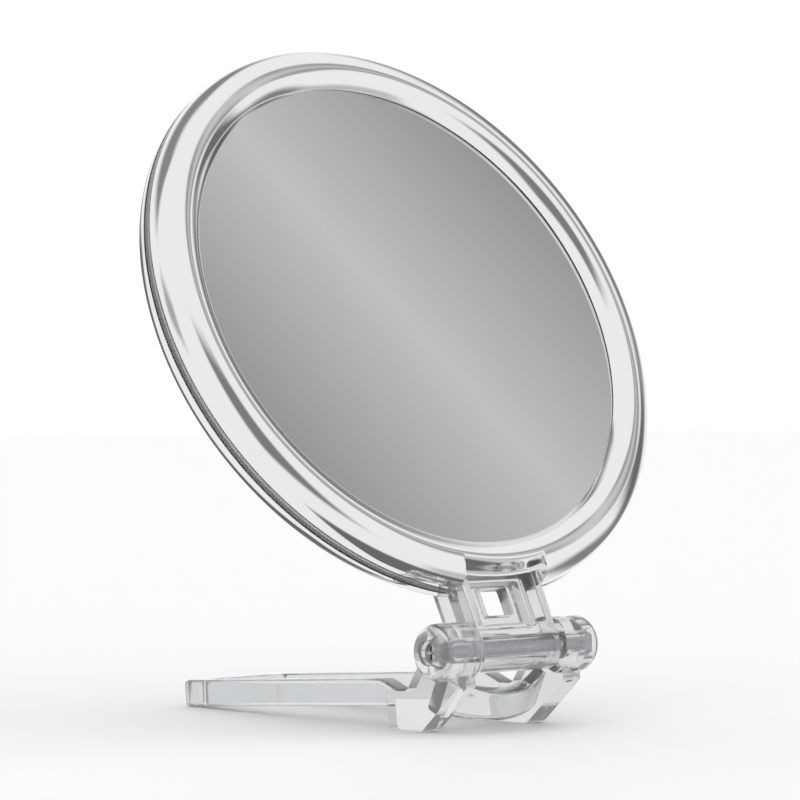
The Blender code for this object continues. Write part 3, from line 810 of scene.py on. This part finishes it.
def calculate(operation, first, second=0.0, third=0.0):
    """One Math node on links or numbers."""
    made = node(world, "ShaderNodeMath", operation=operation)
    for socket, value in zip(made.inputs, (first, second, third)):
        if isinstance(value, (int, float)):
            socket.default_value = value
        else:
            world.node_tree.links.new(value, socket)
    return made.outputs[0]


TENT = 0.93                   # brightness of the bare tent
PLAIN_WHITE = 1.08            # what the floor and the background get
direction = node(world, "ShaderNodeTexCoord").outputs["Generated"]
split = node(world, "ShaderNodeSeparateXYZ", {"Vector": direction})
forward = calculate("MULTIPLY", split.outputs["Y"], -1.0)
azimuth = calculate("DEGREES", calculate("ARCTAN2", split.outputs["X"], forward))
elevation = calculate("DEGREES", calculate("ARCSINE", split.outputs["Z"]))


def ramp_down(value, middle, soft):
    """1 below middle - soft, 0 above middle + soft, smooth between."""
    made = node(world, "ShaderNodeMapRange", {"Value": value}, interpolation_type="SMOOTHSTEP",
                From_Min=middle - soft, From_Max=middle + soft, To_Min=1.0, To_Max=0.0)
    return made.outputs["Result"]


def panel(light, centre, half, brightness, soft=5.0, turn=0.0):
    """Hangs a soft rectangle at (azimuth, elevation), turned in that plane, over the light so far."""
    across = calculate("WRAP", calculate("SUBTRACT", azimuth, centre[0]), 180.0, -180.0)
    above = calculate("SUBTRACT", elevation, centre[1])
    c, s = cos(radians(turn)), sin(radians(turn))
    u = calculate("ADD", calculate("MULTIPLY", across, c), calculate("MULTIPLY", above, s))
    v = calculate("SUBTRACT", calculate("MULTIPLY", above, c), calculate("MULTIPLY", across, s))
    mask = calculate("MULTIPLY", ramp_down(calculate("ABSOLUTE", u), half[0], soft),
                     ramp_down(calculate("ABSOLUTE", v), half[1], soft))
    return calculate("MULTIPLY_ADD", mask, calculate("SUBTRACT", brightness, light), light)


light = calculate("ADD", TENT, 0.0)
for centre, half, brightness, soft, turn in (     # degrees, and 1.0 is full white
        ((-175, 55), (48, 19), 0.26, 9, 0),       # grey ceiling at the back
        ((-110, 14), (14, 9), 0.42, 6, 0),        # small one on the left
        ((170, -24), (20, 34), 0.15, 4, 0),       # dark furniture low at the back
        ((-8, 23), (19, 18), 0.22, 6, 0),         # panel high in front
        ((103, 27), (22, 13), 0.22, 6, 0),        # panels on the right
        ((84, 4), (7, 25), 0.16, 4, 33),
        ((82, -16), (20, 13), 0.24, 8, 0),
        ((45, -33), (26, 9), 0.55, 7, 0),         # light grey above the counter edge
        ((22, -72), (72, 28), 0.155, 5, 0),       # dark counter edge below
        ((150, 24), (10, 11), 1.0, 4, 0),         # clear white behind
        ((115, -12), (10, 7), 1.0, 4, 0),
        ((139, 0), (14, 12), 1.0, 5, 0)):
    light = panel(light, centre, half, brightness, soft, turn)

# %% [markdown]
# A flat mirror shows only a few degrees of the room. A narrow bright strip between two grey ones, where
# the glass looks, gives it the diagonal sheen.

# %% Sheen strip
SHEEN_AZIMUTH = 56.5
SHEEN_HALF = 4.2
SHEEN_MIDDLE, SHEEN_SIDES = 0.67, 0.34
from_middle = calculate("ABSOLUTE", calculate("SUBTRACT", azimuth, SHEEN_AZIMUTH))
fall = calculate("MINIMUM", calculate("DIVIDE", from_middle, SHEEN_HALF), 1.0)
strip = calculate("MULTIPLY_ADD", fall, SHEEN_SIDES - SHEEN_MIDDLE, SHEEN_MIDDLE)
light = panel(light, (SHEEN_AZIMUTH, 37), (8.5, 13), strip, 2.5)

path = node(world, "ShaderNodeLightPath")
plain = calculate("MAXIMUM", path.outputs["Is Camera Ray"], path.outputs["Is Diffuse Ray"])
light = calculate("MULTIPLY_ADD", plain, calculate("SUBTRACT", PLAIN_WHITE, light), light)
world.node_tree.links.new(light, background.inputs["Strength"])
background.inputs["Color"].default_value = (1, 1, 1, 1)

# %% [markdown]
# The camera has a long lens and stands about 0.84 m from the hinge, to the front and left of the object. It
# is level with the middle of the object's height and looks straight ahead, so upright lines stay upright.

# %% Camera
AZIMUTH, ELEVATION, ROLL = radians(-40.95), radians(-0.02), radians(-0.29)
STAND = np.array([-0.5664, -0.6140, 0.0593])      # from the hinge, in metres
camera_data = bpy.data.cameras.new("camera")
camera_data.sensor_width = 36
camera_data.lens = 156.67
camera = bpy.data.objects.new("camera", camera_data)
scene.collection.objects.link(camera)
back = np.array([sin(AZIMUTH) * cos(ELEVATION), -cos(AZIMUTH) * cos(ELEVATION), sin(ELEVATION)])
right = np.array([cos(AZIMUTH), sin(AZIMUTH), 0])
up = np.cross(back, right)
turned_right = cos(ROLL) * right + sin(ROLL) * up
turned_up = -sin(ROLL) * right + cos(ROLL) * up
place = np.eye(4)
place[:3, :3] = np.column_stack([turned_right, turned_up, back])
place[:3, 3] = hinge + STAND
camera.matrix_world = place.T.tolist()
scene.camera = camera
print("camera at", camera.matrix_world.translation[:])

# %% Sizes
visual_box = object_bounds()
boxes = {label: [list(corner) for corner in box] for label, box in (("cad", cad_box), ("visual", visual_box))}
for label, box in boxes.items():
    print(label, [[round(value, 4) for value in corner] for corner in box])
